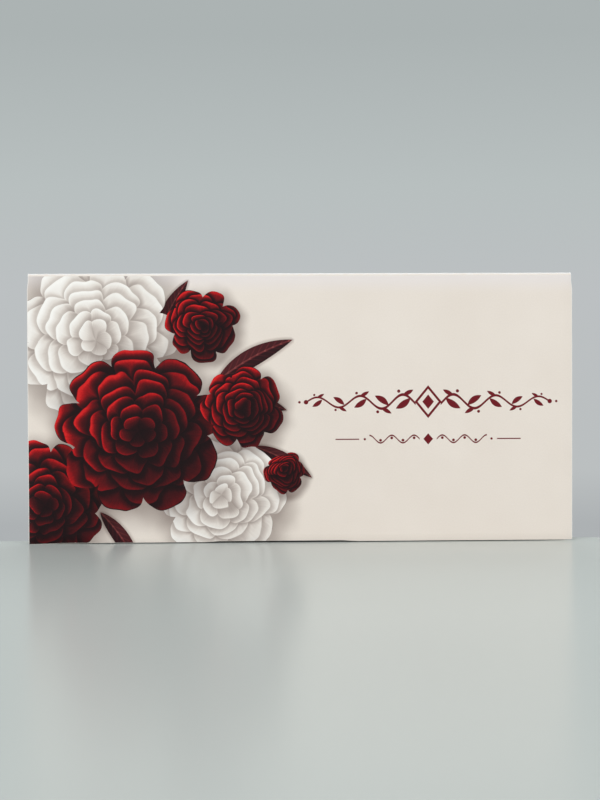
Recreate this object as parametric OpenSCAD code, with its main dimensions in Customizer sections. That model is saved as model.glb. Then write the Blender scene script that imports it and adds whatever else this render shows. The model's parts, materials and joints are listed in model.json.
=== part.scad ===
// Money envelope: one die-cut sheet of laminated card, creased, folded and glued.
// It stands a little open, like a low tent, on its cover's free edge and its bottom fold.
// The front faces -Y, +X is to the right seen from the front, and the floor is z = 0.
// All lengths are in millimetres and all angles in degrees.

/* [Sheet] */
// Thickness of the card with its laminate
card_t = 0.3; // [0.2:0.01:0.4]
// Thickness of the glue between a side tab and the back
glue_t = 0.05; // [0.03:0.01:0.1]

/* [Cover] */
// Width of the front cover
cover_w = 165; // [120:0.5:230]
// Height of the front cover, from the top of the fold to its free edge
cover_h = 81.5; // [60:0.1:120]
// How far the sheet draws in near the fold, on each side
shoulder_in = 0.3; // [0.1:0.05:1]
// Height of the drawn-in band below the top fold
shoulder_h = 1.4; // [0.5:0.1:8]
// Height of the slant from that band out to the full width
shoulder_slant = 2.7; // [0.5:0.1:8]
// Radius of the cover's two free corners
cover_corner_r = 0.4; // [0.1:0.1:6]
// Room left between the shut cover and the pocket
shut_clearance = 0.1; // [0.05:0.01:0.5]

/* [Back] */
// How much taller the back is than the cover
back_extra = 0.33; // [0:0.01:0.5]

/* [Pocket] */
// How far each side of the pocket lies inside the back's side
pocket_inset = 0.5; // [0.3:0.1:3]
// Distance from the top of the envelope down to the pocket's mouth
mouth_drop = 11.6; // [6:0.1:25]
// Size of the cut at each corner of the mouth
mouth_corner = 3; // [1:0.5:8]
// Room left between a side tab and the pocket in front of it
tab_gap = 0.1; // [0.05:0.01:0.3]

/* [Side tabs] */
// Width of a side tab
tab_w = 12; // [9:0.5:18]
// Distance from the bottom of the envelope up to a tab's lower end
tab_low = 2.5; // [1.5:0.5:6]
// Distance from the pocket's mouth down to a tab's upper end
tab_high = 4; // [3.5:0.5:10]
// How much each end of a tab is slanted towards its free edge
tab_taper = 5; // [1:0.5:8]

/* [Glue strips] */
// Width of a glue strip
glue_w = 6; // [3:0.5:7]
// Distance from a glue strip's end to the slanted end of its tab
glue_end = 2; // [1:0.5:6]

/* [Stance] */
// Angle between the cover and the back as the envelope stands
open_angle = 5.5; // [5:0.5:20]

/* [Hidden] */
$fn = 96;

// The shut envelope is laid out upright: its bottom fold rests on z = 0 and the
// middle of the gap between the cover and the back is at y = 0.
// The gap between the back and the pocket holds the tab, its glue and a little air.
pocket_gap = glue_t + card_t + tab_gap;
// The gap between the back and the shut cover holds all that and the pocket.
shut_gap = pocket_gap + card_t + shut_clearance;

// Radii of the top fold when the envelope is shut
fold_in_r = shut_gap / 2;
fold_mid_r = fold_in_r + card_t / 2;
fold_out_r = fold_in_r + card_t;

// Radii of the bottom fold
bottom_in_r = pocket_gap / 2;
bottom_out_r = bottom_in_r + card_t;

// Radii of a side tab's fold
tab_in_r = tab_gap / 2;
tab_out_r = tab_in_r + card_t;

// Overall height of the shut envelope, and the height where its top fold starts
back_h = cover_h + back_extra;
spring_z = back_h - fold_out_r;

// The cover turns about a line just above the fold. From there the creased strip is
// as long laid flat, with the cover wide open, as it is folded, with the cover shut.
pivot_up = fold_mid_r * PI / 2;
pivot_h = spring_z + pivot_up;

// Faces of the sheet across the shut envelope, in the y direction
back_inner_y = fold_in_r;
back_outer_y = fold_out_r;
tab_back_y = back_inner_y - glue_t;
pocket_inner_y = back_inner_y - pocket_gap;
bottom_fold_y = back_inner_y - bottom_in_r;
cover_inner_y = -fold_in_r;

// Widths, heights and places across the sheet
back_w = cover_w - 2 * shoulder_in;
pocket_w = back_w - 2 * pocket_inset;
crease_x = pocket_w / 2 - tab_out_r;
mouth_z = back_h - mouth_drop;
tab_z0 = tab_low;
tab_z1 = mouth_z - tab_high;
glue_x = crease_x - tab_w / 2;
glue_z0 = tab_z0 + tab_taper + glue_end;
glue_z1 = tab_z1 - tab_taper - glue_end;

// Leans of the cover and the back, so that both stand on the floor:
// cover_reach * cos(a) - fold_in_r * sin(a) is the pivot's height over the cover's foot,
// and it equals the height over the bottom fold, with open_angle - a as the back's lean.
cover_foot_z = back_h - cover_h;
cover_reach = pivot_h - cover_foot_z;
back_reach = pivot_h - bottom_out_r;
cos_part = cover_reach - back_reach * cos(open_angle) + bottom_fold_y * sin(open_angle);
sin_part = -fold_in_r - back_reach * sin(open_angle) - bottom_fold_y * cos(open_angle);
cover_lean = atan2(sin_part, cos_part) + acos(bottom_out_r / norm([cos_part, sin_part]));
back_lean = open_angle - cover_lean;

// Radii and centre of the top fold as the envelope stands: it is opened by open_angle
rest_mid_r = fold_mid_r + pivot_up * tan(open_angle / 2);
rest_in_r = rest_mid_r - card_t / 2;
rest_out_r = rest_mid_r + card_t / 2;
rest_fold_y = -pivot_up * tan(open_angle / 2);

// Place of the pivot over the middle of the footprint
foot_front = -fold_out_r * cos(cover_lean) - cover_reach * sin(cover_lean);
foot_rear = bottom_fold_y * cos(back_lean) + back_reach * sin(back_lean) + bottom_out_r;
pivot_y = -(foot_front + foot_rear) / 2;
pivot_z = back_reach * cos(back_lean) + bottom_out_r - bottom_fold_y * sin(back_lean);

// Places of the cover's joint and of the back's outer face, for reference
face_z = back_h / 2;
face_y = pivot_y + back_outer_y * cos(back_lean) - (face_z - pivot_h) * sin(back_lean);
face_up = pivot_z + back_outer_y * sin(back_lean) + (face_z - pivot_h) * cos(back_lean);
echo(pivot = [0, pivot_y, pivot_z], cover_lean = cover_lean, back_lean = back_lean);
echo(back_face = [0, face_y, face_up], normal = [0, cos(back_lean), sin(back_lean)]);

// Puts what is laid out in the shut envelope where the back leans
module with_back() {
    translate([0, pivot_y, pivot_z]) rotate([back_lean, 0, 0]) translate([0, 0, -pivot_h])
        children();
}

// Puts what is laid out in the shut envelope where the cover leans
module with_cover() {
    translate([0, pivot_y, pivot_z]) rotate([-cover_lean, 0, 0]) translate([0, 0, -pivot_h])
        children();
}

// A flat piece of card or glue: its outline is drawn in x and z, its rear face is at rear_y
module flat_piece(rear_y, thickness) {
    translate([0, rear_y, 0]) rotate([90, 0, 0]) linear_extrude(thickness) children();
}

// A creased strip across the width: a part of a tube about the x direction
module cross_fold(width, in_r, out_r, start, sweep) {
    rotate([90, 0, 90]) rotate([0, 0, start]) translate([0, 0, -width / 2])
        rotate_extrude(angle = sweep) translate([in_r, 0]) square([out_r - in_r, width]);
}

// Outline of the cover: slanted shoulders below the fold and two small round corners
module cover_outline() {
    r = cover_corner_r;
    band_z = spring_z - shoulder_h;
    wide_z = band_z - shoulder_slant;
    polygon([[-cover_w / 2, cover_foot_z + r], [cover_w / 2, cover_foot_z + r],
             [cover_w / 2, wide_z], [back_w / 2, band_z], [back_w / 2, spring_z],
             [-back_w / 2, spring_z], [-back_w / 2, band_z], [-cover_w / 2, wide_z]]);
    translate([-cover_w / 2 + r, cover_foot_z]) square([cover_w - 2 * r, r]);
    for (side = [-1, 1]) translate([side * (cover_w / 2 - r), cover_foot_z + r]) circle(r);
}

// Outline of the pocket, with a slanted cut at each end of its mouth
module pocket_outline() {
    polygon([[-crease_x, bottom_out_r], [crease_x, bottom_out_r],
             [crease_x, mouth_z - mouth_corner], [crease_x - mouth_corner, mouth_z],
             [mouth_corner - crease_x, mouth_z], [-crease_x, mouth_z - mouth_corner]]);
}

// Outline of the right side tab, from its crease inwards
module tab_outline() {
    free_x = crease_x - tab_w;
    polygon([[crease_x, tab_z0], [crease_x, tab_z1],
             [free_x, tab_z1 - tab_taper], [free_x, tab_z0 + tab_taper]]);
}

// Outline of the right glue strip, a bead with round ends
module glue_outline() {
    r = glue_w / 2;
    translate([glue_x - r, glue_z0 + r]) square([glue_w, glue_z1 - glue_z0 - 2 * r]);
    for (z = [glue_z0 + r, glue_z1 - r]) translate([glue_x, z]) circle(r);
}

module front_cover() {
    color("#E9DED6") with_cover() flat_piece(cover_inner_y, card_t) cover_outline();
}

module top_fold() {
    color("#F2ECE8") with_back() translate([0, rest_fold_y, spring_z])
        cross_fold(back_w, rest_in_r, rest_out_r, 0, 180 - open_angle);
}

module back_panel() {
    color("#E6DAD0") with_back() flat_piece(back_outer_y, card_t)
        translate([-back_w / 2, bottom_out_r]) square([back_w, spring_z - bottom_out_r]);
}

module bottom_fold() {
    color("#F0E9E4") with_back() translate([0, bottom_fold_y, bottom_out_r])
        cross_fold(2 * crease_x, bottom_in_r, bottom_out_r, 180, 180);
}

module pocket_panel() {
    color("#EADFD8") with_back() flat_piece(pocket_inner_y, card_t) pocket_outline();
}

// The right tab: the left one is its mirror image
module side_tab() {
    flat_piece(tab_back_y, card_t) tab_outline();
}

// The right tab's fold: half a tube about the pocket's side crease
module side_tab_fold() {
    translate([crease_x, pocket_inner_y + tab_in_r, tab_z0]) rotate([0, 0, -90])
        rotate_extrude(angle = 180) translate([tab_in_r, 0])
            square([card_t, tab_z1 - tab_z0]);
}

// The right glue strip, between the tab and the back
module side_glue() {
    flat_piece(back_inner_y, glue_t) glue_outline();
}

module left_tab() {
    color("#F4F1EC") with_back() mirror([1, 0, 0]) side_tab();
}

module right_tab() {
    color("#F4F1EC") with_back() side_tab();
}

module left_tab_fold() {
    color("#EEE6E0") with_back() mirror([1, 0, 0]) side_tab_fold();
}

module right_tab_fold() {
    color("#EEE6E0") with_back() side_tab_fold();
}

module left_glue_strip() {
    color("#E8E2C8") with_back() mirror([1, 0, 0]) side_glue();
}

module right_glue_strip() {
    color("#E8E2C8") with_back() side_glue();
}

front_cover();
top_fold();
back_panel();
bottom_fold();
pocket_panel();
left_tab();
right_tab();
left_tab_fold();
right_tab_fold();
left_glue_strip();
right_glue_strip();
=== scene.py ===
# %% [markdown]
# A folded card envelope for banknotes, dressed over its engineering model
#
# The real thing is one sheet of card: printed and laminated on one side, bare white
# board on the other, cut to shape, creased, folded and held by two glued tabs. This
# lesson makes every panel and every crease as its own piece, prints the cover with
# shader nodes alone, and lights it as in a small product studio.

# %% Load the frame
import json
from functools import partial
from math import atan2, cos, degrees, floor, pi, radians, sin, tan

import bpy
from mathutils import Matrix, Vector


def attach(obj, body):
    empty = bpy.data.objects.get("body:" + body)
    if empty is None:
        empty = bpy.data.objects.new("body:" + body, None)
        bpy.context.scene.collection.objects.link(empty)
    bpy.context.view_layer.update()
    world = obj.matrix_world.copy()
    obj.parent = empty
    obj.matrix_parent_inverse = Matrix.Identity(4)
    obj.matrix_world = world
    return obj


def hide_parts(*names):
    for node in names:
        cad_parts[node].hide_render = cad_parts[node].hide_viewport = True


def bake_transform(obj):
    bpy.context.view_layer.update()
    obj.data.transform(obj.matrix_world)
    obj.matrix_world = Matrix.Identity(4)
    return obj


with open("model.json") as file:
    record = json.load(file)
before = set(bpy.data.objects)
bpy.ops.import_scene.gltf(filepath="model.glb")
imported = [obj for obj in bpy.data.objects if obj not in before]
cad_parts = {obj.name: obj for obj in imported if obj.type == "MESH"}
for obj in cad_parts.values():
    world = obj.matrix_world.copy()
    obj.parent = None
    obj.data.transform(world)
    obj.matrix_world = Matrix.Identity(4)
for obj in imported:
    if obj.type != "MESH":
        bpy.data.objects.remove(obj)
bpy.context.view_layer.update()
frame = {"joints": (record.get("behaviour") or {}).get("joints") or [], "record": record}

# %% [markdown]
# The sizes of the sheet come first. Only a few are free, and the rest follow from how
# card folds: a crease has to be as wide as what lies inside it. The layout is that of
# the shut envelope, upright, with its bottom fold on z = 0 and y = 0 in the middle of
# the gap between the cover and the back. All lengths are in metres.

# %% Sizes of the sheet
MM = 0.001
# the card, the glue, and the air left between layers
card = 0.3 * MM
glue = 0.05 * MM
tab_gap = 0.1 * MM
shut_clearance = 0.1 * MM
# the cover, which draws in at its shoulders just below the fold
cover_w, cover_h = 165 * MM, 81.5 * MM
shoulder_in, shoulder_h, shoulder_slant = 0.3 * MM, 1.4 * MM, 2.7 * MM
cover_corner = 0.4 * MM
# the back, the pocket with its mouth, the side tabs and their glue
back_extra = 0.33 * MM
pocket_inset, mouth_drop, mouth_corner = 0.5 * MM, 11.6 * MM, 3 * MM
tab_w, tab_low, tab_high, tab_taper = 12 * MM, 2.5 * MM, 4 * MM, 5 * MM
glue_w, glue_end = 6 * MM, 2 * MM

# radii of the folds, and heights and faces in the shut envelope
pocket_gap = glue + card + tab_gap
fold_in = (pocket_gap + card + shut_clearance) / 2
fold_mid = fold_in + card / 2
fold_out = fold_in + card
bottom_out = pocket_gap / 2 + card
tab_out = tab_gap / 2 + card
back_w = cover_w - 2 * shoulder_in
back_h = cover_h + back_extra
spring_z = back_h - fold_out
cover_foot = back_h - cover_h
sheet_top = spring_z - cover_foot
crease_x = back_w / 2 - pocket_inset - tab_out
mouth_z = back_h - mouth_drop
bottom_fold_y = fold_in - pocket_gap / 2
pocket_inner_y = fold_in - pocket_gap
pocket_outer_y = pocket_inner_y - card
tab_front_y = pocket_inner_y + tab_gap
tab_top = mouth_z - tab_high
print(f"back {back_w / MM:.1f} x {back_h / MM:.2f} mm, pocket mouth at {mouth_z / MM:.2f} mm")

# %% [markdown]
# The stance comes from the frame. The joint's lower limit says how far the cover is
# open at rest, and the flat mount on the back says how far the back leans. A piece is
# modelled in the upright layout and then turned about the pivot, as the card is.

# %% Where the cover and the back stand
joint = frame["joints"][0]
pivot = Vector(joint["pos_m"])
open_angle = -radians(joint["range_deg"][0])
back_normal = frame["record"]["mounts"][0]["axis"]
back_lean = atan2(back_normal[2], back_normal[1])
cover_lean = open_angle - back_lean
pivot_up = fold_mid * pi / 2
pivot_h = spring_z + pivot_up


def stand(lean):
    """The move from the upright layout to a panel that leans by this angle."""
    turn = Matrix.Rotation(lean, 4, "X")
    return Matrix.Translation(pivot) @ turn @ Matrix.Translation((0, 0, -pivot_h))


on_back = stand(back_lean)
on_cover = stand(-cover_lean)
print(f"cover leans {degrees(cover_lean):.2f} degrees, back {degrees(back_lean):.2f} degrees")

# %% [markdown]
# The camera is low and almost straight on, so a long lens keeps the cover's sides
# nearly upright, as the photograph does. Its place was worked out from the corners and
# the long edges of the cover.

# %% Camera
camera_place = Vector((-26.74, -639.36, 63.35)) * MM
camera_side, camera_dip, camera_roll = radians(-2.374), radians(1.817), radians(-0.202)
focal_px, long_side_px, sensor_mm = 2100, 800, 36
sight_from, sight_to = 1 * MM, 50

bpy.ops.object.camera_add()
camera = bpy.context.object
camera.data.lens = focal_px * sensor_mm / long_side_px
camera.data.sensor_width = sensor_mm
camera.data.clip_start, camera.data.clip_end = sight_from, sight_to
ahead = Vector((-sin(camera_side) * cos(camera_dip), cos(camera_side) * cos(camera_dip),
                -sin(camera_dip)))
level = Vector((cos(camera_side), sin(camera_side), 0))
upward = level.cross(ahead)
rightward = level * cos(camera_roll) + upward * sin(camera_roll)
upright = upward * cos(camera_roll) - level * sin(camera_roll)
turned = Matrix((rightward, upright, -ahead)).transposed().to_4x4()
camera.matrix_world = Matrix.Translation(camera_place) @ turned
bpy.context.scene.camera = camera
bpy.context.scene.view_settings.view_transform = "Standard"
print(f"lens {camera.data.lens:.1f} mm at {camera_place.length:.3f} m")

# %% [markdown]
# Shader maths reads badly as a list of nodes, so a small class lets it be written as
# sums. Each Wire is one value that a node puts out, and adding or multiplying two of
# them places a Math node and links it.

# %% Sums that place nodes


class Wire:
    """A value in a node tree. Sums of Wires that are numbers place Math nodes."""

    def __init__(self, tree, socket):
        self.tree, self.socket = tree, socket

    def __add__(self, other):
        return sums("ADD", self, other)

    def __sub__(self, other):
        return sums("SUBTRACT", self, other)

    def __rsub__(self, other):
        return sums("SUBTRACT", other, self)

    def __mul__(self, other):
        return sums("MULTIPLY", self, other)

    def __truediv__(self, other):
        return sums("DIVIDE", self, other)

    def __rtruediv__(self, other):
        return sums("DIVIDE", other, self)

    __radd__, __rmul__ = __add__, __mul__


def tree_of(*values):
    """The node tree that these values belong to."""
    return next(v.tree for v in values if isinstance(v, Wire))


def feed(tree, socket, value):
    """Links a Wire to a socket, or sets the socket to a plain value."""
    if isinstance(value, Wire):
        tree.links.new(value.socket, socket)
    else:
        socket.default_value = value


def one_node(tree, kind, output, inputs, **settings):
    """Adds a node, sets it, feeds it, and gives one of its outputs."""
    node = tree.nodes.new("ShaderNode" + kind)
    for key, value in settings.items():
        setattr(node, key, value)
    for key, value in inputs.items():
        feed(tree, node.inputs[key], value)
    return Wire(tree, node.outputs[output])


def sums(operation, *values):
    """One Math node on these values."""
    return one_node(tree_of(*values), "Math", 0, dict(enumerate(values)), operation=operation)


# %% [markdown]
# The sums that a drawn pattern needs most get short names. With a least and a most,
# shapes are cut and joined, and with an ease an outline gets a soft rim.

# %% Names for common sums
fract, size_of, raised = partial(sums, "FRACT"), partial(sums, "ABSOLUTE"), partial(sums, "POWER")
least, most = partial(sums, "MINIMUM"), partial(sums, "MAXIMUM")


def far(a, b):
    """Length of the line from the middle to (a, b)."""
    return sums("SQRT", sums("MULTIPLY_ADD", a, a, b * b))


def between(a, b, share):
    """a at share 0, b at share 1."""
    return sums("MULTIPLY_ADD", b - a, share, a)


def ease(value, low, high):
    """0 below low, 1 above high, and a smooth rise between them."""
    ends = {"Value": value, "From Min": low, "From Max": high}
    return one_node(value.tree, "MapRange", "Result", ends, interpolation_type="SMOOTHSTEP")


# %% [markdown]
# Places and colours run along wires too. Noise gives the card its grain, and a colour
# ramp turns a brightness into ink. Colours are written as a paint program shows them,
# out of 255, and made linear here.

# %% Places, noise and colours


def joined(x, y, z=0.0):
    """Three numbers as one vector."""
    return one_node(tree_of(x, y, z), "CombineXYZ", 0, {"X": x, "Y": y, "Z": z})


def parted(vector):
    """A vector as three numbers."""
    node = vector.tree.nodes.new("ShaderNodeSeparateXYZ")
    feed(vector.tree, node.inputs[0], vector)
    return [Wire(vector.tree, socket) for socket in node.outputs]


def scaled(vector, factor):
    """A vector times a number."""
    inputs = {0: vector, "Scale": factor}
    return one_node(vector.tree, "VectorMath", 0, inputs, operation="SCALE")


def cloudy(place, scale, detail=2.0, rough=0.5):
    """Soft noise from 0 to 1 on a vector."""
    inputs = {"Vector": place, "Scale": scale, "Detail": detail, "Roughness": rough}
    return one_node(place.tree, "TexNoise", "Fac", inputs)


def linear(colour):
    """An sRGB colour out of 255 as the linear colour that nodes want."""
    share = [c / 255 for c in colour]
    return [c / 12.92 if c <= 0.04045 else ((c + 0.055) / 1.055) ** 2.4 for c in share] + [1]


def tinted(value, stops):
    """A colour ramp on a number. Each stop is a place and an sRGB colour out of 255."""
    node = value.tree.nodes.new("ShaderNodeValToRGB")
    feed(value.tree, node.inputs[0], value)
    elements = node.color_ramp.elements
    while len(elements) < len(stops):
        elements.new(0.5)
    for element, (place, colour) in zip(elements, stops):
        element.position = place
        element.color = linear(colour)
    return Wire(value.tree, node.outputs["Color"])


def mixed(a, b, share, blend="MIX"):
    """Two colours mixed by a number. A Mix node takes and gives colours at these numbers."""
    inputs = {"Factor": share, 6: a, 7: b}
    return one_node(tree_of(a, b, share), "Mix", 2, inputs, data_type="RGBA", blend_type=blend)


# %% [markdown]
# A node group is a finish that several materials share. Two helpers make one with named
# inputs and outputs, and place it in a tree with its own values.

# %% Groups with named sockets


def new_group(name, inputs, outputs):
    """A node group, with a dict of Wires for its inputs and a function that closes it."""
    tree = bpy.data.node_groups.new(name, "ShaderNodeTree")
    kinds = {float: "NodeSocketFloat", tuple: "NodeSocketVector", list: "NodeSocketColor"}
    for label, start in inputs.items():
        socket = tree.interface.new_socket(label, in_out="INPUT", socket_type=kinds[type(start)])
        socket.default_value = start
    for label, kind in outputs.items():
        tree.interface.new_socket(label, in_out="OUTPUT", socket_type=kinds[kind])
    source = tree.nodes.new("NodeGroupInput")
    sink = tree.nodes.new("NodeGroupOutput")

    def close(**results):
        for label, wire in results.items():
            feed(tree, sink.inputs[label.replace("_", " ").capitalize()], wire)
        print(f"group {name}: {len(tree.nodes)} nodes")

    return {label: Wire(tree, source.outputs[label]) for label in inputs}, close


def placed(tree, group, **values):
    """Places a group in a tree, feeds it, and gives its outputs by name."""
    node = tree.nodes.new("ShaderNodeGroup")
    node.node_tree = bpy.data.node_groups[group]
    for label, value in values.items():
        feed(tree, node.inputs[label.replace("_", " ").capitalize()], value)
    return {socket.name: Wire(tree, socket) for socket in node.outputs}


# %% [markdown]
# The print is a spray of blossoms. A blossom is drawn in polar coordinates, as rings of
# petals from the rim inwards, each ring turned a little further. A petal is dark at its
# root and bright at its lip, its neighbour shades one side of it, and the whole flower
# is lit from the upper left. The group puts out a brightness alone, and a colour ramp
# later makes it red or white.

# %% Petals of one blossom
TURN = 2 * pi
# inwards the rings shrink and lose petals, and each is turned by a share of a petal
petal_rings, ring_spare, ring_power = 7, 0.35, 0.92
petals_lost, fewest_petals, ring_turn_share = 0.7, 3, 0.382
# a ring's outline dips between two petals, and is a little ragged
notch_share, notch_sharpness, raggedness = 0.2, 3.2, 0.05
# light at a petal's root, what is added towards its lip, and how late that comes
root_light, lip_light, lip_power = 0.10, 0.62, 2.6
# its sides are darker, and it is brighter where it is turned to the light, at this angle
side_dark, turned_away, turned_to, lit_from = 0.38, 0.55, 1.3, 2.3
# a bright rim: what it adds, the share of that away from the light, and where it lies
rim_light, rim_away, rim_from, rim_to = 0.22, 0.35, 0.90, 0.985
# the neighbour's shade on one side, and the shadow on the rings below
neighbour_shade, neighbour_reach = 0.45, -0.16
ring_shade, ring_shade_reach, ring_softness = 0.3, 0.13, 0.012
# streaks across a petal, and how far apart the rings lie in the two noises
streak_count, streak_depth, streak_step, ragged_step = 20, 0.22, 7.7, 5.3

inlet, close = new_group("blossom_petals",
                         {"Across": 0.0, "Up": 0.0, "Turn": 0.0, "Petals": 8.0},
                         {"Light": float})
across, up = inlet["Across"], inlet["Up"]
reach = far(across, up)
turns = sums("ARCTAN2", up, across) / TURN + inlet["Turn"]
light = reach * 0
for ring in range(petal_rings):
    tip = (1 - ring / (petal_rings + ring_spare)) ** ring_power
    count = most(sums("ROUND", inlet["Petals"] - petals_lost * ring), fewest_petals)
    slot = fract(turns * count + ring * ring_turn_share) - 0.5
    side = size_of(slot) * 2
    facing = sums("COSINE", (turns - slot / count - inlet["Turn"]) * TURN - lit_from) * 0.5 + 0.5
    ragged = cloudy(joined(turns * count, ring * ragged_step), 1.0, 0) - 0.5
    outline = (1 - notch_share * raised(side, notch_sharpness)) * (1 + raggedness * ragged) * tip
    along = least(reach / outline, 1)
    # dark at the root and bright at the lip, rounded across, lit from one side
    shade = root_light + lip_light * raised(along, lip_power)
    shade = shade * (1 - side_dark * side * side) * between(turned_away, turned_to, facing)
    # the neighbour's shade falls on one side, and the rim catches the light
    shade = shade * between(neighbour_shade, 1, ease(slot, -0.5, neighbour_reach))
    shade = shade + rim_light * ease(along, rim_from, rim_to) * between(rim_away, 1, facing)
    # fine streaks run from the root to the lip
    streak = cloudy(joined(slot * streak_count + ring * streak_step, reach * 3), 1.0, 1) - 0.5
    shade = shade + streak * along * streak_depth
    # this ring throws a shadow on the ones drawn before it, and then hides them
    light = light * between(ring_shade, 1, ease(reach - outline, 0.0, ring_shade_reach))
    light = between(light, shade, ease(outline - reach, 0.0, ring_softness))
close(light=light)

# %% [markdown]
# Drawing seven rings for every blossom would be slow, and only the top one shows at
# any point. So a lighter group asks of each blossom, from the lowest up: is this point
# inside its outer ring? If so, it hands on the point's place within that blossom, and
# the petals are drawn once, at the end. It also keeps the shadow that a blossom throws.

# %% Which blossom is on top
origin = (0.0, 0.0, 0.0)
blossom_start = {"Across": 9.0, "Up": 9.0, "Turn": 0.0, "Petals": 8.0, "White": 0.0,
                 "Shade": 1.0, "Cover": 0.0}
shadow_shift, shadow_depth, shadow_from, shadow_to = 1.2, 0.6, 0.82, 1.28


def steps_from(inlet, label):
    """How far to the right of a named point, and how far above it, the place lies."""
    here_x, here_y, _ = parted(inlet["Place"])
    there_x, there_y, _ = parted(inlet[label])
    return here_x - there_x, here_y - there_y


def handed_on(outputs):
    """What one group puts out, under the names that the next one takes it by."""
    return {"Old " + label.lower(): wire for label, wire in outputs.items()}


def laid_over(inlet, inside, under, **new):
    """New values where the point is inside this piece, and the old ones elsewhere."""
    kept = {label: between(inlet["Old " + label], value, inside) for label, value in new.items()}
    return {**kept, "cover": most(inlet["Old cover"], inside), "shade": between(under, 1.0, inside)}


inlet, close = new_group("blossom_on_top",
                         {"Place": origin, "Centre": origin, "Radius": 20.0, "New turn": 0.0,
                          "New petals": 8.0, "New white": 0.0, **handed_on(blossom_start)},
                         dict.fromkeys(blossom_start, float))
radius = inlet["Radius"]
across, up = (step / radius for step in steps_from(inlet, "Centre"))
turns = sums("ARCTAN2", up, across) / TURN + inlet["New turn"]
side = size_of(fract(turns * inlet["New petals"]) - 0.5) * 2
outline = 1 - notch_share * raised(side, notch_sharpness)
inside = sums("GREATER_THAN", outline, far(across, up))
shifted = far(across - shadow_shift / radius, up + shadow_shift / radius)
under = inlet["Old shade"] * (1 - shadow_depth * (1 - ease(shifted, shadow_from, shadow_to)))
close(**laid_over(inlet, inside, under, across=across, up=up, turn=inlet["New turn"],
                  petals=inlet["New petals"], white=inlet["New white"]))

# %% [markdown]
# Leaves work the same way: each one that holds the point hands on how far along and
# how far aside the point is, and the rib and the veins are drawn once.

# %% Which leaf is on top
leaf_start = {"Along": 0.0, "Aside": 0.0, "Cover": 0.0, "Shade": 1.0}
leaf_bend, leaf_fullness, root_power, tip_power = 0.18, 2.1, 0.75, 0.9
end_cut, leaf_shadow_depth, leaf_shadow_reach = 1.5, 0.45, 0.05

inlet, close = new_group("leaf_on_top",
                         {"Place": origin, "Root": origin, "Heading": 0.0, "Length": 20.0,
                          "Width": 0.16, **handed_on(leaf_start)},
                         dict.fromkeys(leaf_start, float))
east, north = sums("COSINE", inlet["Heading"]), sums("SINE", inlet["Heading"])
dx, dy = (step / inlet["Length"] for step in steps_from(inlet, "Root"))
along = dx * east + dy * north
off_middle = along - 0.5
aside = dy * east - dx * north + leaf_bend * off_middle * off_middle
half = inlet["Width"] * leaf_fullness * raised(most(along, 0), root_power)
half = half * raised(most(1 - along, 0), tip_power)
# beyond either end the leaf is cut off, so that its shadow ends there too
past_end = most(0 - along, along - 1)
gap = half - size_of(aside) - end_cut * most(past_end, 0)
inside = sums("GREATER_THAN", gap, 0)
under = inlet["Old shade"] * (1 - leaf_shadow_depth * ease(gap, -leaf_shadow_reach, 0.0))
close(**laid_over(inlet, inside, under, along=along, aside=aside))

# %% [markdown]
# The right half carries a plain traditional ornament: a running vine either side of a
# lozenge, and under it two fine rules with beads. Each shape is a signed distance,
# positive inside, so shapes join with a maximum and are cut with a minimum. The vine
# repeats by folding the plane into cells, and a leaf's place counts from its cell's
# middle. All sizes are in millimetres.

# %% Running vine
vine_half, vine_wave, vine_cells, vine_taper = 38.0, 2.2, 5, 0.35
stem_half, stem_start, stem_end, stem_slope = 0.33, 0.6, 1, 0.75
lozenge_x, leaves_from, leaves_short = 4.4, 0.1, 1
cell_w = (vine_half - stem_end - lozenge_x) / vine_cells
leaf_at, leaf_half, leaf_width, leaf_heading, leaf_curve = (-0.2, 0.7), 2.8, 0.98, 0.62, 0.1
bud_at, bud_half, bud_width, bud_north = (-1.5, -2.75), 1.75, 0.6, 0.45
berry_at, berry_r = (1.3, -3.3), 0.5
leaf_east, leaf_north = cos(leaf_heading), sin(leaf_heading)


def pointed_leaf(along, aside, length, width):
    """Positive inside a slim leaf with two points."""
    share = size_of(along) / length
    return width * (1 - share * share) - size_of(aside)


def round_spot(a, b, radius):
    """Positive inside a round spot."""
    return radius - far(a, b)


def vine(u, w):
    """One side of the vine: u runs outwards from the lozenge's middle, w is up."""
    run = u - lozenge_x
    taper = 1 - vine_taper * ease(u, lozenge_x, vine_half)
    # the stem slopes, so a step straight up takes the point less far from it
    off_stem = size_of(w - vine_wave * taper * sums("SINE", run / cell_w * pi)) * stem_slope
    stem = stem_half * taper - off_stem
    stem = least(stem, least(run + stem_start, vine_half - stem_end - u))
    # every other cell is turned upside down
    cell = run / cell_w
    flip = fract(sums("FLOOR", cell) / 2) * 4 - 1
    t, below = (fract(cell) - 0.5) * cell_w / taper, w * flip / taper
    x, y = t - leaf_at[0], below - leaf_at[1]
    along, aside = x * leaf_east + y * leaf_north, y * leaf_east - x * leaf_north
    curved = aside + leaf_curve * along * along / leaf_half
    leaf = pointed_leaf(along, curved, leaf_half, leaf_width)
    x, y = t - bud_at[0], below - bud_at[1]
    along, aside = x * leaf_east + y * bud_north, y * leaf_east - x * bud_north
    bud = pointed_leaf(along, aside, bud_half, bud_width)
    berry = round_spot(t - berry_at[0], below - berry_at[1], berry_r)
    # the leaves end a little before the stem does
    live = least(run - leaves_from, vine_half - stem_end - leaves_short - u)
    return most(stem, least(most(most(leaf, bud), berry), live))


# %% [markdown]
# The group puts both sides of the vine, the lozenge and the rules together. Between the
# rules runs a small scroll, with a drop in each of its nooks. The group puts out how
# much ink lies at a point. An outline's rim is a tenth of a millimetre soft.

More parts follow.
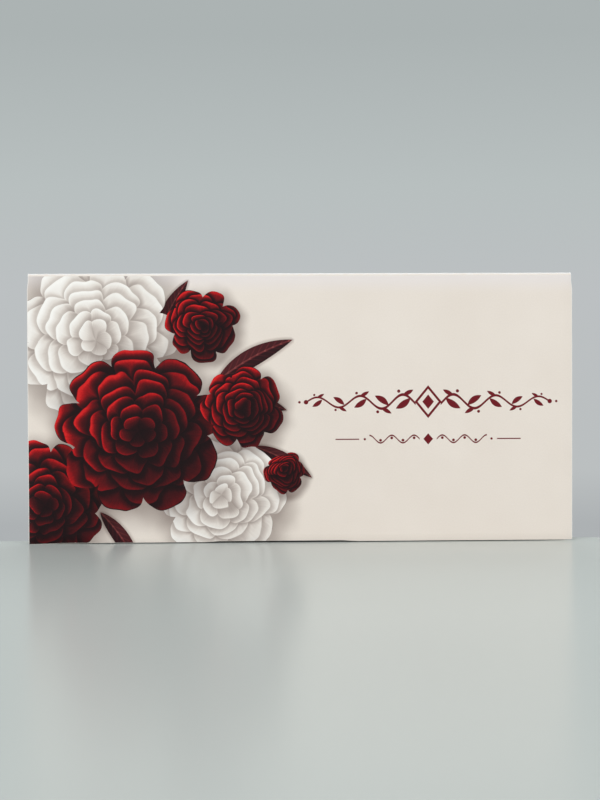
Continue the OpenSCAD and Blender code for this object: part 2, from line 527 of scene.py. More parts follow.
# %% The whole ornament
# each lozenge: its depth in the middle, and how fast that falls off aside and up
outer_lozenge, heart_lozenge, small_lozenge = (3, 0.73, 0.6), (1.6, 0.91, 0.73), (1.7, 1.15, 1)
lozenge_line = 0.66
end_beads = [(-0.9, 0.68), (1.1, 0.38)]  # how far past the vine's end, radius
rule_drop, rule_half, rule_from, rule_to = 11.3, 0.17, 21.0, 28.2
scroll_half, scroll_wave, scroll_slope, scroll_from = 0.16, 1.15, 0.7, 2.6
curl_w, scroll_curls, drop_curls, drops_from = 3.4, 4.5, 4, 3
drop_aside, drop_r, bead_x, bead_r = 0.35, 0.42, 19.3, 0.36
ink_softness = 0.045


def lozenge(u, w, depth, aside, up):
    """Positive inside a lozenge."""
    return depth - u * aside - size_of(w) * up


inlet, close = new_group("vine_ornament", {"Place": origin, "Centre": origin}, {"Ink": float})
aside, w = steps_from(inlet, "Centre")
u = size_of(aside)
outer = lozenge(u, w, *outer_lozenge)
outer_rim = least(outer, lozenge_line - outer)
ink = most(vine(u, w), most(outer_rim, lozenge(u, w, *heart_lozenge)))
for past_vine, bead_radius in end_beads:
    ink = most(ink, round_spot(u - vine_half - past_vine, w, bead_radius))
# the small line under it, where v is up from its middle
v = w + rule_drop
rule = least(rule_half - size_of(v), least(u - rule_from, rule_to - u))
run = u - scroll_from
off_scroll = size_of(v - scroll_wave * sums("SINE", run / curl_w * pi)) * scroll_slope
scroll = scroll_half - off_scroll
scroll = least(scroll, least(run, scroll_curls * curl_w - run))
nook = fract(run / curl_w / 2) * 2 - 1
drop = round_spot((size_of(nook) - 0.5) * curl_w, v + drop_aside * sums("SIGN", nook), drop_r)
drop = least(drop, least(u - drops_from, drop_curls * curl_w - run))
beads = most(lozenge(u, v, *small_lozenge), round_spot(u - bead_x, v, bead_r))
ink = most(ink, most(most(rule, beads), most(scroll, drop)))
close(ink=ease(ink, -ink_softness, ink_softness))

# %% [markdown]
# Now the finishes that every face of the sheet needs. Laminated card is satin, with a
# faint orange-peel grain. Bare board is matt and fibrous. Where the sheet is cut or
# creased, the white core shows through the ink in fine specks.

# %% Grain, fibres and worn ink
# how near an edge and how strong a speck make a chip, and which share of the reach is bare
chips_from, chips_to, bare_from, bare_to = 1.02, 1.3, 0.25, 0.65

inlet, close = new_group("card_grain", {"Place": origin, "Coarse": 0.3, "Fine": 3.0},
                         {"Tone": float, "Height": float})
fine = cloudy(scaled(inlet["Place"], inlet["Fine"]), 1.0, 3, 0.6)
coarse = cloudy(scaled(inlet["Place"], inlet["Coarse"]), 1.0, 2, 0.5)
close(tone=coarse * 0.5 + fine * 0.5, height=fine * 0.8 + coarse * 0.2)

inlet, close = new_group("worn_ink", {"Place": origin, "Edge": 1.0, "Reach": 0.35},
                         {"White": float})
specks = cloudy(inlet["Place"], 2.4, 4, 0.7)
near = 1 - ease(inlet["Edge"], 0.0, inlet["Reach"])
bare = 1 - ease(inlet["Edge"], inlet["Reach"] * bare_from, inlet["Reach"] * bare_to)
close(white=most(bare, ease(near + specks, chips_from, chips_to)))

inlet, close = new_group("board_fibre", {"Place": origin}, {"Tone": float, "Height": float})
x, y, z = parted(inlet["Place"])
long_fibre = cloudy(joined(x * 0.7, y * 3.5, z * 3.5), 1.3, 4, 0.65)
short_fibre = cloudy(joined(x * 4, y * 1.5, z * 4), 1.1, 3, 0.6)
close(tone=long_fibre * 0.6 + short_fibre * 0.4, height=long_fibre * 0.5 + short_fibre * 0.5)

# %% [markdown]
# The materials put these together. Each one reads "sheet_place", an attribute that every piece
# carries: how far across and how far up the flat sheet a point lies, in millimetres. So the print
# runs on over the top fold without a step, and it would stay on the card if the fold were bent.
# Gloss is a plain value on the shader itself.

# %% Helpers for materials
material_of = {}


def new_material(name, roughness, specular):
    """A material with the Principled shader's plain values set on it."""
    material = bpy.data.materials.new(name)
    material.use_nodes = True
    tree = material.node_tree
    shader = tree.nodes["Principled BSDF"]
    shader.inputs["Roughness"].default_value = roughness
    shader.inputs["Specular IOR Level"].default_value = specular
    material_of[name] = material
    return tree, shader


def sheet_place(tree):
    """A point's place on the flat sheet."""
    return one_node(tree, "Attribute", "Vector", {}, attribute_name="sheet_place")


def bumped(tree, shader, height, depth, strength):
    """Feeds a height to the shader's normal. A height of 1 is this deep, in metres."""
    inputs = {"Height": height, "Distance": depth, "Strength": strength}
    feed(tree, shader.inputs["Normal"], one_node(tree, "Bump", 0, inputs))


# %% [markdown]
# The spray is laid out in two tables, with the lowest leaf and the lowest blossom
# first. Places are in millimetres, across and up from the middle of the cover's foot.
# A leaf has a pale rib, with veins that run off it at a slant.

# %% Leaves of the spray
wine_leaf = [(0, (22, 8, 12)), (0.4, (56, 17, 23)), (0.75, (92, 34, 38)), (1, (132, 64, 62))]
spray_leaves = [  # root across and up, heading, length, width share
    (-26, 50, 0.5, 26, 0.16), (-20, 44, -0.2, 16, 0.19), (-14, 30, -0.5, 20, 0.15),
    (-44, 62, 1.1, 20, 0.17), (-30, 20, -0.6, 26, 0.15), (-60, 10, -1.0, 22, 0.16)]
vein_count, vein_slant, vein_thin, vein_wide = 10, 1.5, 0.03, 0.2
rib_thin, rib_wide, veins_fade, veins_end = 0.004, 0.018, 0.05, 0.13
leaf_light, lighter_half, half_from, half_to = 0.3, 0.3, -0.02, 0.03
vein_light, rib_light, tip_dark = 0.22, 0.5, 0.15


def drawn_leaves(tree, place):
    """The leaves: their colour, how much of the card they hide, and their shadow."""
    leaf = leaf_start
    for across, up, heading, length, width in spray_leaves:
        leaf = placed(tree, "leaf_on_top", place=place, root=(across, up, 0), heading=heading,
                      length=length, width=width, **handed_on(leaf))
    off_rib = size_of(leaf["Aside"])
    rib = 1 - ease(off_rib, rib_thin, rib_wide)
    vein = size_of(fract((leaf["Along"] - off_rib * vein_slant) * vein_count) - 0.5)
    vein = (1 - ease(vein, vein_thin, vein_wide)) * (1 - ease(off_rib, veins_fade, veins_end))
    # one half of a leaf is lighter than the other, and its root is lighter than its tip
    light = leaf_light + lighter_half * ease(leaf["Aside"], half_from, half_to)
    light = light + vein_light * vein + rib_light * rib - tip_dark * leaf["Along"]
    return tinted(light, wine_leaf), leaf["Cover"], leaf["Shade"]


print("leaves:", len(spray_leaves))

# %% [markdown]
# The blossoms share one drawing of petals, and two colour ramps make it red or white.
# A slow noise bends the place that they are drawn at by a few millimetres, so that no
# blossom looks drawn with compasses.

# %% Blossoms of the spray
deep_red = [(0, (16, 3, 6)), (0.18, (34, 4, 9)), (0.4, (72, 6, 13)), (0.62, (112, 7, 15)),
            (0.82, (168, 12, 19)), (1, (212, 30, 31))]
ivory = [(0, (158, 144, 137)), (0.14, (202, 190, 183)), (0.34, (229, 220, 213)),
         (0.62, (243, 237, 232)), (1, (252, 248, 244))]
spray_blossoms = [  # centre across and up, radius, turn, petals, white
    (-62, 62, 25, 0.05, 9, 1), (-24, 14, 19, 0.31, 8, 1), (-30, 66, 11, 0.6, 7, 0),
    (-78, 12, 19, 0.77, 8, 0), (-49, 34, 25, 0.13, 9, 0), (-18, 41, 12.5, 0.42, 7, 0),
    (-5, 21, 6, 0.9, 6, 0)]
wander, wander_scale, other_slice = 5, 0.12, 40.0
red_least, red_most = 0.86, 1.14


def drawn_blossoms(tree, place):
    """The blossoms, given in the same way."""
    x, y, _ = parted(place)
    wave_x = cloudy(place, wander_scale, 1) - 0.5
    wave_y = cloudy(joined(x, y, other_slice), wander_scale, 1) - 0.5
    bent_place = joined(x + wave_x * wander, y + wave_y * wander)
    top = blossom_start
    for across, up, radius, turn, petals, white in spray_blossoms:
        top = placed(tree, "blossom_on_top", place=bent_place, centre=(across, up, 0),
                     radius=radius, new_turn=turn, new_petals=petals, new_white=white,
                     **handed_on(top))
    light = placed(tree, "blossom_petals", across=top["Across"], up=top["Up"],
                   turn=top["Turn"], petals=top["Petals"])["Light"]
    # the red lies a little unevenly
    uneven = between(red_least, red_most, cloudy(joined(x, y * 0.7), 2.6, 2, 0.7))
    colour = mixed(tinted(light * uneven, deep_red), tinted(light, ivory), top["White"])
    return colour, top["Cover"], top["Shade"]


print("blossoms:", len(spray_blossoms))

# %% [markdown]
# Every printed face is cream card under a satin film. The film has a fine grain, and
# within half a millimetre of a cut edge the ink is chipped and the white core shows.

# %% Laminated card
cream = [(0.3, (231, 219, 209)), (0.7, (237, 226, 217))]
core_white = linear((240, 234, 228))
film_roughness, film_specular = 0.4, 0.2
film_grain_depth, film_grain_strength = 0.02 * MM, 0.25
worn_reach, worn_share = 0.4, 0.85


def laminated(name):
    """A material for card under film, with its place on the sheet and its cream ground."""
    tree, shader = new_material(name, film_roughness, film_specular)
    place = sheet_place(tree)
    grain = placed(tree, "card_grain", place=place, coarse=0.05, fine=2.2)
    bumped(tree, shader, grain["Height"], film_grain_depth, film_grain_strength)
    return tree, shader, place, tinted(grain["Tone"], cream)


def worn_by(tree, place, colour, edge):
    """A colour that is worn where the cut edge, this many millimetres away, is near."""
    worn = placed(tree, "worn_ink", place=place, edge=edge, reach=worn_reach)
    return mixed(colour, core_white, worn["White"] * worn_share)


# %% [markdown]
# Where the card begins to bend towards the fold, a paler strip is painted over the cover's ground:
# a painted highlight. Over this ground come the leaves' shadow, the ornament, the spray, and last
# the shadow that blossoms throw on all that lies under them. A shadow is mixed in with Multiply,
# because it takes light away from whatever colour is there.

# %% Printed cover
ink_red, fold_highlight_white = linear((110, 20, 30)), linear((235, 227, 228))
leaf_dark, bloom_dark = linear((150, 128, 122)), linear((96, 70, 66))
no_shade = linear((255, 255, 255))
highlight_reach, highlight_share, foot_spared = 6.0, 0.6, 3
ornament_centre = (38.5, 42.5, 0.0)

tree, shader, place, ground = laminated("printed_cover")
x, y, _ = parted(place)
below_fold = sheet_top / MM - y
# painted highlight: the cover is paler just below the fold, where the card begins to bend
near_fold = 1 - ease(below_fold, 0.0, highlight_reach)
ground = mixed(ground, fold_highlight_white, near_fold * highlight_share)
leaf_colour, leaf_cover, leaf_shade = drawn_leaves(tree, place)
bloom_colour, bloom_cover, bloom_shade = drawn_blossoms(tree, place)
ground = mixed(ground, mixed(leaf_dark, no_shade, leaf_shade), 1.0, "MULTIPLY")
ornament = placed(tree, "vine_ornament", place=place, centre=ornament_centre)
ground = mixed(ground, ink_red, ornament["Ink"])
spray = mixed(leaf_colour, bloom_colour, bloom_cover)
printed = mixed(ground, spray, most(bloom_cover, leaf_cover))
printed = mixed(printed, mixed(bloom_dark, no_shade, bloom_shade), 1.0, "MULTIPLY")
# the side edge draws in at the shoulders, and the foot wears a third as far as the sides
band_and_slant = (shoulder_h + shoulder_slant) / MM
drawn_in = least(most((band_and_slant - below_fold) / shoulder_slant * MM, 0), 1)
side = cover_w / MM / 2 - drawn_in * shoulder_in / MM
edge = least(side - size_of(x), y * foot_spared)
feed(tree, shader.inputs["Base Color"], worn_by(tree, place, printed, edge))
print("nodes in the cover's material:", len(tree.nodes))

# %% [markdown]
# The back and the pocket carry only the cream ground. It is worn along the back's sides
# and along the pocket's mouth with its two slanted corners.

# %% Cream card
# square to a slanted corner, a distance is this share of the one along x
corner_slant = 0.7

tree, shader, place, ground = laminated("cream_card")
x, y, _ = parted(place)
over_mouth = y - mouth_z / MM
off_corner = size_of(x) + over_mouth - (crease_x - mouth_corner) / MM
off_corner = size_of(off_corner) * corner_slant
# the back lies over the mouth on the flat sheet, and no corner is cut from it
off_corner = most(off_corner, over_mouth)
edge = least(back_w / MM / 2 - size_of(x), least(size_of(over_mouth), off_corner))
feed(tree, shader.inputs["Base Color"], worn_by(tree, place, ground, edge))
print("pocket's mouth worn at", round(mouth_z / MM, 2), "mm up the sheet")

# %% [markdown]
# A crease stretches the ink until it cracks along the bend and shows the white core,
# most of all in the middle of the bend. A narrow long noise draws the cracks.

# %% Creased card
crease_white = linear((235, 232, 231))
crease_roughness, crease_specular = 0.45, 0.3
crack_depth, crack_strength, crack_share = 0.04 * MM, 0.4, 0.6
# cracks are long across the sheet and fine along the bend, and fade from its middle
crack_long, crack_fine, crack_fade, crack_from, crack_to = 0.35, 5, 0.35, 0.2, 0.42

tree, shader = new_material("creased_card", crease_roughness, crease_specular)
place = sheet_place(tree)
grain = placed(tree, "card_grain", place=place, coarse=0.3, fine=4.0)
x, y, bend = parted(place)
cracks = cloudy(joined(x * crack_long, y * crack_fine, bend), 2.0, 4, 0.7)
from_middle = size_of(bend - 0.5) * 2
stretched = ease(cracks - crack_fade * from_middle, crack_from, crack_to)
worn = placed(tree, "worn_ink", place=place, edge=back_w / MM / 2 - size_of(x), reach=worn_reach)
colour = mixed(tinted(grain["Tone"], cream), crease_white, most(stretched, worn["White"]))
feed(tree, shader.inputs["Base Color"], colour)
relief = cracks * crack_share + grain["Height"] * (1 - crack_share)
bumped(tree, shader, relief, crack_depth, crack_strength)
print("nodes in the creases' material:", len(tree.nodes))

# %% [markdown]
# The inside is bare white board. A cut edge is the same board, a little darker and with
# coarser fibres. The glue has dried to a yellowish film.

# %% Bare board, cut edge and glue
board_specular, fibre_depth = 0.25, 0.03 * MM
boards = [  # name, roughness, darkest and lightest colour, strength of the fibres
    ("white_board", 0.85, (233, 229, 222), (246, 243, 238), 0.35),
    ("cut_edge", 0.8, (222, 214, 206), (246, 241, 235), 0.5)]

for name, roughness, dark, pale, strength in boards:
    tree, shader = new_material(name, roughness, board_specular)
    fibre = placed(tree, "board_fibre", place=sheet_place(tree))
    feed(tree, shader.inputs["Base Color"], tinted(fibre["Tone"], [(0.3, dark), (0.7, pale)]))
    bumped(tree, shader, fibre["Height"], fibre_depth, strength)

glue_tones = [(0.3, (222, 214, 186)), (0.7, (238, 232, 212))]
glue_roughness, glue_specular = 0.3, 0.5
ripple_depth, ripple_strength = 0.05 * MM, 0.6

tree, shader = new_material("dried_glue", glue_roughness, glue_specular)
grain = placed(tree, "card_grain", place=sheet_place(tree), coarse=0.4, fine=1.5)
feed(tree, shader.inputs["Base Color"], tinted(grain["Tone"], glue_tones))
bumped(tree, shader, grain["Height"], ripple_depth, ripple_strength)
print("materials:", sorted(material_of))

# %% [markdown]
# An operator acts on all that is selected. So everything is deselected before a new
# primitive is added, and what is to be shaped is then selected by its place.

# %% Helpers for selecting
tiny = 0.001 * MM
select_modes = {"vertices": "VERT", "edges": "EDGE", "polygons": "FACE"}


def deselect():
    bpy.ops.object.select_all(action="DESELECT")


def added(name, add, **settings):
    """What this operator adds, under a name, with nothing else selected."""
    deselect()
    add(**settings)
    piece = bpy.context.object
    piece.name = piece.data.name = name
    return piece


def object_mode():
    bpy.ops.object.mode_set(mode="OBJECT")


def single_out(piece):
    """Makes a piece the active one, and the only one that is selected."""
    deselect()
    piece.select_set(True)
    bpy.context.view_layer.objects.active = piece


def pick(piece, keep, kind="vertices"):
    """Selects the vertices, edges or faces that pass a test, in edit mode."""
    bpy.ops.object.mode_set(mode="EDIT")
    bpy.ops.mesh.select_mode(type=select_modes[kind])
    bpy.ops.mesh.select_all(action="DESELECT")
    object_mode()
    for part in getattr(piece.data, kind):
        part.select = bool(keep(part))
    bpy.ops.object.mode_set(mode="EDIT")


def move_picked(by, spread=None):
    """Moves what is selected, and what lies within spread of it by less and less."""
    bpy.ops.transform.translate(value=by, use_proportional_edit=spread is not None,
                                proportional_edit_falloff="SMOOTH",
                                proportional_size=spread or 1)
    object_mode()


# %% [markdown]
# A panel starts as a grid primitive, stood upright, with enough rows and columns to
# take a slight curl. A card panel is never quite flat, so its middle row is drawn out
# by a fifth of a millimetre, and the curl fades out just before the panel's ends.

# %% Helpers for a flat sheet
curl_margin = 1 * MM


def start_grid(name, width, low, high, y, facing, columns=66, rows=32):
    """A flat upright grid from low to high, at this y, whose normals point to facing along y."""
    piece = added(name, bpy.ops.mesh.primitive_grid_add, x_subdivisions=columns,
                  y_subdivisions=rows, size=1, location=(0, y, (low + high) / 2),
                  rotation=(-facing * pi / 2, 0, 0))
    piece.scale = (width, high - low, 1)
    bpy.ops.object.transform_apply(location=True, rotation=True, scale=True)
    return piece


def curl(piece, top, length, depth):
    """Draws the row halfway up to the top out along y, and the rest with it."""
    middle_z = min((v.co.z for v in piece.data.vertices), key=lambda z: abs(z - top / 2))
    pick(piece, lambda v: abs(v.co.z - middle_z) < tiny)
    move_picked((0, depth, 0), spread=length / 2 - curl_margin)


# %% [markdown]
# The sheet gets its thickness from Solidify, with bare board inside and the cut edge all
# round. Free edges are bevelled by a few hundredths of a millimetre, because a cut card
# edge catches the light there. Edges at a crease stay sharp, so that no groove shows
# between the panel and the fold.

# %% Helpers for thickness and edges
edge_round, edge_steps = 0.03 * MM, 2
# two faces make a sharp edge if the product of their normals is below this
sharp_below = 0.7
seam_slack = 0.005 * MM


def apply_modifier(piece, kind, **settings):
    single_out(piece)
    modifier = piece.modifiers.new(kind.title(), kind)
    for key, value in settings.items():
        setattr(modifier, key, value)
    bpy.ops.object.modifier_apply(modifier=modifier.name)


def thicken(piece, outside):
    """Gives the sheet its thickness inwards, with its three finishes."""
    for name in (outside, "white_board", "cut_edge"):
        piece.data.materials.append(material_of[name])
    apply_modifier(piece, "SOLIDIFY", thickness=card, offset=-1, use_even_offset=True,
                   material_offset=1, material_offset_rim=2)


def soften(piece, creases):
    """Bevels the sharp edges, apart from those where a crease goes on."""
    mesh = piece.data
    normals = {}
    for face in mesh.polygons:
        for key in face.edge_keys:
            normals.setdefault(key, []).append(face.normal)
    spots = [v.co.copy() for v in mesh.vertices]

    def sharp(edge):
        a, b = edge.vertices
        pair = normals[tuple(sorted((a, b)))]
        if len(pair) < 2 or pair[0].dot(pair[1]) > sharp_below:
            return False
        return not any(crease(spots[a]) and crease(spots[b]) for crease in creases)

    pick(piece, sharp, "edges")
    bpy.ops.mesh.bevel(offset=edge_round, segments=edge_steps, affect="EDGES", clamp_overlap=True)
    object_mode()


def at_height(z):
    return lambda spot: abs(spot.z - z) < seam_slack


# %% [markdown]
# Each point stores its place on the flat sheet before the piece is turned, while that place is easy
# to tell. Last, the piece is turned from the upright layout into its stance, the part of the
# engineering model that it stands for is hidden, and the piece is hung on the body that it rides
# on, if any.

# %% Helpers for the sheet's places and the last step
smooth_angle = radians(35)


def store_place(piece, where):
    """Stores each point's place on the flat sheet, in millimetres."""
    layer = piece.data.attributes.new("sheet_place", "FLOAT_VECTOR", "POINT")
    for vertex, item in zip(piece.data.vertices, layer.data):
        item.vector = Vector(where(vertex.co)) / MM


def finish(piece, move, body, node):
    """Stands the piece up, hides the part that it replaces, and hangs it on its body, if any."""
    single_out(piece)
    bpy.ops.object.shade_smooth_by_angle(angle=smooth_angle)
    piece.data.transform(move)
    piece.data.update()
    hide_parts(node)
    if body:
        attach(piece, body)
    print(f"{piece.name}: {len(piece.data.polygons)} faces")


# %% [markdown]
# The cover. Its sides slant in by a hair just below the fold, as the cutting die left
# them: the grid's top row is extruded twice, once along the slant and once straight up
# to the fold. Its lower edge stands on its left corner. Elsewhere it clears the table by
# a quarter of a millimetre, and by about half a millimetre near the middle, which
# leaves a thin dark line under it.

# %% Front cover
cover_top = spring_z
cover_curl = 0.22 * MM
gap_height, gap_from, gap_fade = 0.28 * MM, -72 * MM, 12 * MM
lift_height, lift_from, lift_to, lift_fade = 0.26 * MM, -25 * MM, 14 * MM, 4 * MM

wide_top = cover_top - shoulder_h - shoulder_slant
cover = start_grid("cover_card", cover_w, cover_foot, wide_top, -fold_out, -1)
pick(cover, lambda v: v.co.z > wide_top - tiny)
for rise, width_share in ((shoulder_slant, back_w / cover_w), (shoulder_h, 1)):
    bpy.ops.mesh.extrude_region_move(TRANSFORM_OT_translate={"value": (0, 0, rise)})
    bpy.ops.transform.resize(value=(width_share, 1, 1), center_override=(0, 0, 0))
object_mode()
store_place(cover, lambda co: (co.x, co.z - cover_foot, 0))
pick(cover, lambda v: abs(v.co.x) > cover_w / 2 - tiny and v.co.z < cover_foot + tiny)
bpy.ops.mesh.bevel(offset=cover_corner, segments=3, affect="VERTICES")
object_mode()
curl(cover, cover_top, cover_h, -cover_curl)
pick(cover, lambda v: v.co.z < cover_foot + tiny and v.co.x > gap_from)
move_picked((0, 0, gap_height), spread=gap_fade)
pick(cover, lambda v: v.co.z < cover_foot + 2 * gap_height and lift_from < v.co.x < lift_to)
move_picked((0, 0, lift_height), spread=lift_fade)
thicken(cover, "printed_cover")
soften(cover, [at_height(cover_top)])
finish(cover, on_cover, "cover", "front_cover")

# %% [markdown]
# A crease is a strip of the same sheet, bent round. One edge of a plane is kept,
# divided along its length and spun about the middle of the bend. The strip's normals
# are checked against the bend's middle before it gets its thickness.

# %% Helpers for creases
strip_cuts = 64


def bend_angle(spot, middle, start):
    """A point's angle round a bend, from a quarter turn before its start to three after."""
    angle = atan2(spot.z - middle[1], spot.y - middle[0]) - start
    return angle - TURN * floor(angle / TURN + 0.25)


def bend_share(spot, middle, start, sweep):
    """0 at a bend's start and 1 mm at its end, so that a material finds the bend's middle."""
    return bend_angle(spot, middle, start) / sweep * MM


def spun_strip(name, width, middle, radius, start, sweep, steps):
    """A strip bent about an axis along x: start and sweep are angles from +y towards +z."""
    piece = added(name, bpy.ops.mesh.primitive_plane_add, size=width)
    pick(piece, lambda v: v.co.y > 0)
    bpy.ops.mesh.delete(type="VERT")
    bpy.ops.mesh.select_all(action="SELECT")
    bpy.ops.mesh.subdivide(number_cuts=strip_cuts)
    object_mode()
    centre = Vector((0, middle[0], middle[1]))
    for vertex in piece.data.vertices:
        vertex.co.yz = centre.y + radius * cos(start), centre.z + radius * sin(start)
    pick(piece, lambda v: True)
    # the spin operator turns against the axis here, so the angle is given as negative
    bpy.ops.mesh.spin(steps=steps, angle=-sweep, center=centre, axis=(1, 0, 0))
    object_mode()
    face = piece.data.polygons[0]
    outward = face.center - centre
    outward.x = 0
    if face.normal.dot(outward) < 0:
        pick(piece, lambda v: True)
        bpy.ops.mesh.flip_normals()
        object_mode()
    far_angle = max(abs(bend_angle(v.co, middle, start)) for v in piece.data.vertices)
    print(f"{name}: bent through {degrees(far_angle):.1f} degrees")
    thicken(piece, "creased_card")
    return piece


# %% [markdown]
# The top fold is bent once, to the rest pose, and hung on no body. Where its ends meet the back and
# the cover is worked out after it is stood up. Its places on the sheet go on from the cover's, so
# the cream runs over the fold.

# %% Top fold
rest_mid = fold_mid + pivot_up * tan(open_angle / 2)
rest_out = rest_mid + card / 2
rest_in = rest_mid - card / 2
fold_middle = (-pivot_up * tan(open_angle / 2), spring_z)
fold_sweep = pi - open_angle

fold = spun_strip("top_crease", back_w, fold_middle, rest_out, 0, fold_sweep, 28)
store_place(fold, lambda co: (co.x, sheet_top + (fold_sweep - bend_angle(co, fold_middle, 0))
                              * rest_mid, bend_share(co, fold_middle, 0, fold_sweep)))
finish(fold, on_back, None, "top_fold")
back_end = on_back @ Vector((0, fold_middle[0] + rest_in, spring_z))
cover_end = on_back @ Vector((0, fold_middle[0] + rest_in * cos(fold_sweep),
                              spring_z + rest_in * sin(fold_sweep)))
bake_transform(fold)

# %% [markdown]
# The back panel is the plainest piece: one grid between the two creases, curled the
# other way. The bottom fold is half a tube, which was creased and pressed once and
# doesn't move again.

# %% Back panel and bottom fold
back_curl = 0.2 * MM

back = start_grid("back_card", back_w, bottom_out, spring_z, fold_out, 1)
store_place(back, lambda co: (co.x, sheet_top + pi * fold_mid + spring_z - co.z, 0))
curl(back, spring_z, spring_z, back_curl)
thicken(back, "cream_card")
soften(back, [at_height(spring_z), at_height(bottom_out)])
finish(back, on_back, "back", "back_panel")

bottom_middle = (bottom_fold_y, bottom_out)
bottom = spun_strip("bottom_crease", 2 * crease_x, bottom_middle, bottom_out, pi, pi, 20)
store_place(bottom, lambda co: (co.x, bend_angle(co, bottom_middle, pi) * bottom_out,
                                bend_share(co, bottom_middle, pi, pi)))
finish(bottom, on_back, "back", "bottom_fold")

# %% [markdown]
# The pocket's two upper corners are cut off at a slant, so that a note slides in
# without catching. Moving the corner vertices of a grid would squeeze its rows, so
# the corners are bevelled as vertices, which cuts them clean.

# %% Pocket panel
pocket = start_grid("pocket_card", 2 * crease_x, bottom_out, mouth_z, pocket_outer_y, -1,
                    columns=1, rows=1)
pick(pocket, lambda v: v.co.z > mouth_z - tiny)
bpy.ops.mesh.bevel(offset=mouth_corner, segments=1, affect="VERTICES")
object_mode()
store_place(pocket, lambda co: (co.x, co.z, 0))
thicken(pocket, "cream_card")
soften(pocket, [at_height(bottom_out)])
finish(pocket, on_back, "back", "pocket_panel")

# %% [markdown]
# The side tabs are folded in behind the pocket and glued to the back. A tab narrows
# towards its free edge. Its printed side ends up against the glue. Its crease is a
# strip like the others, bent about x and then turned upright.

# %% Helpers for the right tab and its crease


def side_tab():
    """The right tab, from its crease inwards."""
    piece = start_grid("right_tab_card", tab_w, tab_low, tab_top, tab_front_y + card, 1,
                       columns=1, rows=1)
    piece.data.transform(Matrix.Translation((crease_x - tab_w / 2, 0, 0)))
    for end, inwards in ((tab_low, 1), (tab_top, -1)):
        pick(piece, lambda v: v.co.x < crease_x - tiny and abs(v.co.z - end) < tiny)
        move_picked((0, 0, inwards * tab_taper))
    store_place(piece, lambda co: (co.x, co.z, 0))
    thicken(piece, "cream_card")
    soften(piece, [lambda spot: abs(spot.x - crease_x) < seam_slack])
    return piece


def side_crease():
    """The right tab's crease: half a tube, open towards the middle."""
    piece = spun_strip("right_tab_crease", tab_top - tab_low, (0, 0), tab_out, 0, pi, 12)
    store_place(piece, lambda co: (co.x, 0, bend_share(co, (0, 0), 0, pi)))
    # turned about y, the bulge points to +x
    piece.data.transform(Matrix.Rotation(pi / 2, 4, "Y"))
    middle = Vector((crease_x, pocket_inner_y + tab_gap / 2, (tab_low + tab_top) / 2))
    piece.data.transform(Matrix.Translation(middle))
    return piece


# %% [markdown]
# The glue was laid on as a bead and pressed flat between the tab and the back. A thin
# round primitive is drawn out to the bead's length, half of its points each way, and
# its flat faces are inset along the rim.

# %% Helper for the right glue strip
glue_rim = 0.4 * MM


def side_glue():
    """The right glue strip: a pressed bead with round ends."""
    low, high = tab_low + tab_taper + glue_end, tab_top - tab_taper - glue_end
    middle = (crease_x - tab_w / 2, fold_in - glue / 2, (low + high) / 2)
    piece = added("right_glue_bead", bpy.ops.mesh.primitive_cylinder_add, vertices=32,
                  radius=glue_w / 2, depth=glue, location=middle, rotation=(pi / 2, 0, 0))
    bpy.ops.object.transform_apply(location=True, rotation=True, scale=True)
    half = (high - low - glue_w) / 2
    for sign in (1, -1):
        pick(piece, lambda v: sign * (v.co.z - (low + high) / 2) > tiny)
        move_picked((0, 0, sign * half))
    pick(piece, lambda f: abs(f.normal.y) > 0.9, "polygons")
    bpy.ops.mesh.inset(thickness=glue_rim, depth=0)
    object_mode()
    piece.data.materials.append(material_of["dried_glue"])
    store_place(piece, lambda co: (co.x, co.z, co.y))
    return piece


# %% [markdown]
# The right side is modelled and the left side is its mirror image, each piece with its
# own mesh. Mirroring turns a mesh inside out, so its faces are turned out again.

# %% Side tabs with their creases and glue


def mirrored(piece, name):
    """A copy on the other side of the middle plane, with its faces turned out again."""
    single_out(piece)
    bpy.ops.object.duplicate()
    copy = bpy.context.object
    copy.name = copy.data.name = name
    copy.data.transform(Matrix.Scale(-1, 4, (1, 0, 0)))
    copy.data.flip_normals()
    return copy


for make, left_name, part, slot_name in (
        (side_tab, "left_tab_card", "tab", "white_board"),
        (side_crease, "left_tab_crease", "tab_fold", "creased_card"),
        (side_glue, "left_glue_bead", "glue_strip", "dried_glue")):
    right = make()
    left = mirrored(right, left_name)
    finish(left, on_back, "back", "left_" + part)
    finish(right, on_back, "back", "right_" + part)

# %% [markdown]
# The studio. The envelope stands near the back edge of a semi-gloss table, in which its
# blurred reflection shows. The table is a big plane, cut off along that edge and given
# a thickness, which shows from behind.

# %% Floor
edge_y, edge_turn = 5.65 * MM, radians(-0.62)
floor_size, slab = 6.0, 18 * MM
table_grey, table_roughness, table_specular = linear((196, 200, 197)), 0.21, 0.05

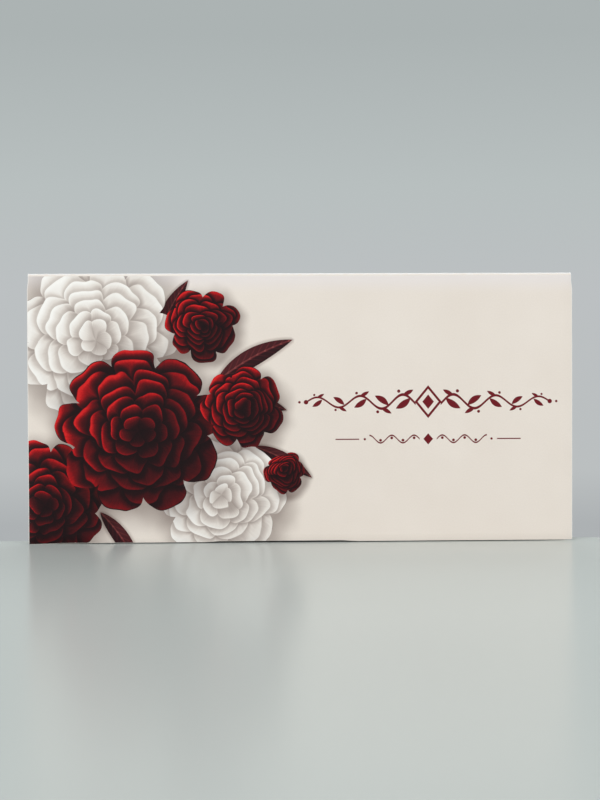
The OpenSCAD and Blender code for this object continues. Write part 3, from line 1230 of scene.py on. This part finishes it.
ground = added("studio_floor", bpy.ops.mesh.primitive_plane_add, size=floor_size)
pick(ground, lambda v: True)
bpy.ops.mesh.bisect(plane_co=(0, edge_y, 0), plane_no=(-sin(edge_turn), cos(edge_turn), 0),
                    clear_outer=True)
object_mode()
apply_modifier(ground, "SOLIDIFY", thickness=slab, offset=-1)
_, shader = new_material("table_top", table_roughness, table_specular)
shader.inputs["Base Color"].default_value = table_grey
ground.data.materials.append(material_of["table_top"])
print(f"table: {floor_size} m wide, its edge {edge_y / MM} mm behind the envelope's middle")

# %% [markdown]
# Behind the table's edge there is no sheet, only the world's colour: a pale grey
# backdrop, darker at its foot and again high up. It gives a soft light from all round.

# %% World
lowest, highest = -0.1, 0.17
backdrop = [(-0.09, (173, 177, 179)), (-0.065, (187, 191, 192)), (0.02, (188, 192, 194)),
            (0.07, (184, 191, 191)), (0.14, (172, 179, 179))]

world = bpy.data.worlds.new("studio")
bpy.context.scene.world = world
world.use_nodes = True
tree = world.node_tree
_, _, height = parted(one_node(tree, "TexCoord", "Generated", {}))
sky = tinted((height - lowest) / (highest - lowest),
             [((rise - lowest) / (highest - lowest), colour) for rise, colour in backdrop])
feed(tree, tree.nodes["Background"].inputs["Color"], sky)
print("backdrop stops:", len(backdrop))

# %% [markdown]
# Four softboxes add shape: a key light from the left and a weaker fill from the right,
# a small one over the envelope for its top edge, and one behind for its back.

# %% Softboxes
aim = Vector((0, 0, 0.04))
softboxes = [  # name, place, width, watts
    ("key_light", (-1.2, -1.8, 1.2), 1.2, 27.4), ("fill_light", (1.6, -1.7, 1.2), 1.2, 17.6),
    ("top_light", (0.0, -0.06, 0.6), 0.5, 0.42), ("back_light", (0.1, 0.8, 0.8), 0.6, 3.0)]
for name, place, width, watts in softboxes:
    lamp = added(name, bpy.ops.object.light_add, type="AREA", location=place)
    lamp.data.shape = "SQUARE"
    lamp.data.size = width
    lamp.data.energy = watts
    lamp.rotation_euler = (aim - Vector(place)).to_track_quat("-Z", "Y").to_euler()
    print(f"{name}: {watts} W, {width} m wide")
